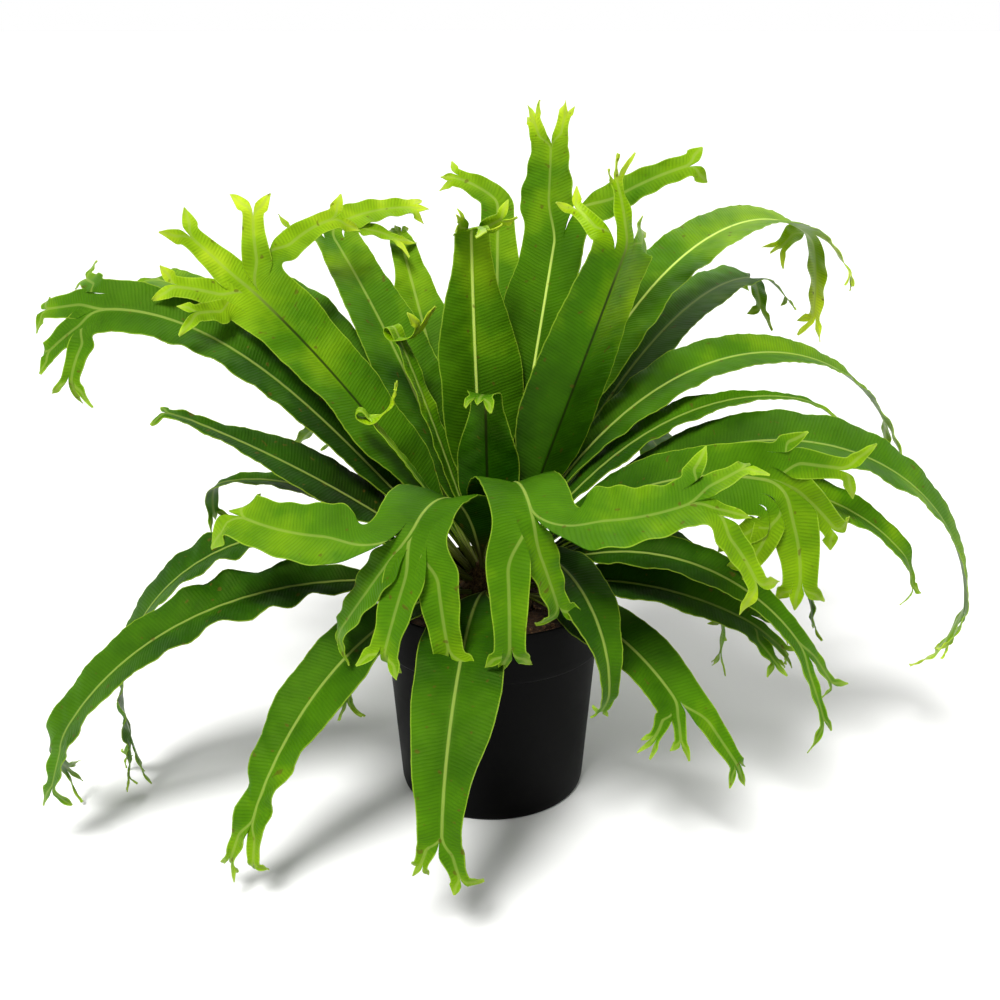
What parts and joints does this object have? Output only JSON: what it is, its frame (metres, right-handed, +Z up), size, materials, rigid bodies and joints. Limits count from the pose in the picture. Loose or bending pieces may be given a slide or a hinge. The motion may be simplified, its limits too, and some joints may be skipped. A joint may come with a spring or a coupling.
{
  "type": "potted crested bird's-nest fern",
  "caption": "Bird's-nest fern with long arching strap fronds and forked, antler-like tips, growing in a round tapered nursery pot.",
  "frame": {"origin": "centre of the pot's underside, on the surface it stands on", "axes": "+Z up, -Y towards the front of the plant, +X to its right as seen from the front"},
  "size_m": [0.5753, 0.4171, 0.4032],
  "materials": {
    "pot_plastic": "satin",
    "soil": "matte",
    "rootstock": "matte",
    "leaf": "satin",
    "shaded_leaf": "satin",
    "young_leaf": "satin"
  },
  "bodies": {
    "root": {"nursery_pot": "pot_plastic", "potting_soil": "soil", "rootstock": "rootstock", "frond_left_arching": "leaf", "frond_left_broad": "shaded_leaf", "frond_left_short": "shaded_leaf", "frond_left_crested": "leaf", "frond_left_back_arching": "leaf", "frond_left_back_high": "leaf", "frond_left_back_forked": "leaf", "frond_back_broad": "leaf", "young_frond_left_tall": "young_leaf", "young_frond_left_short": "young_leaf", "frond_centre_upright": "leaf", "frond_tallest": "leaf", "frond_back_upright": "leaf", "frond_right_upright": "leaf", "frond_right_back_arching": "leaf", "frond_right_back_low": "leaf", "frond_right_high": "leaf", "frond_right_narrow": "leaf", "frond_right_longest": "leaf", "frond_right_inner": "leaf", "frond_right_antler": "leaf", "frond_right_drooping": "shaded_leaf", "frond_right_tucked": "shaded_leaf", "frond_right_slender": "shaded_leaf", "frond_right_low": "shaded_leaf", "frond_right_lowest": "shaded_leaf", "frond_front_antler_left": "leaf", "frond_front_antler_right": "leaf", "frond_front_hanging": "leaf", "frond_front_right_hanging": "leaf", "frond_front_left_short": "leaf", "young_frond_front": "young_leaf", "frond_left_drooping_outer": "leaf", "frond_left_drooping_inner": "leaf", "frond_front_left_drooping": "leaf", "frond_back_high": "leaf", "frond_back_middle": "shaded_leaf", "frond_back_left": "shaded_leaf", "frond_back_right": "shaded_leaf", "frond_back_low": "shaded_leaf"}
  },
  "joints": []
}
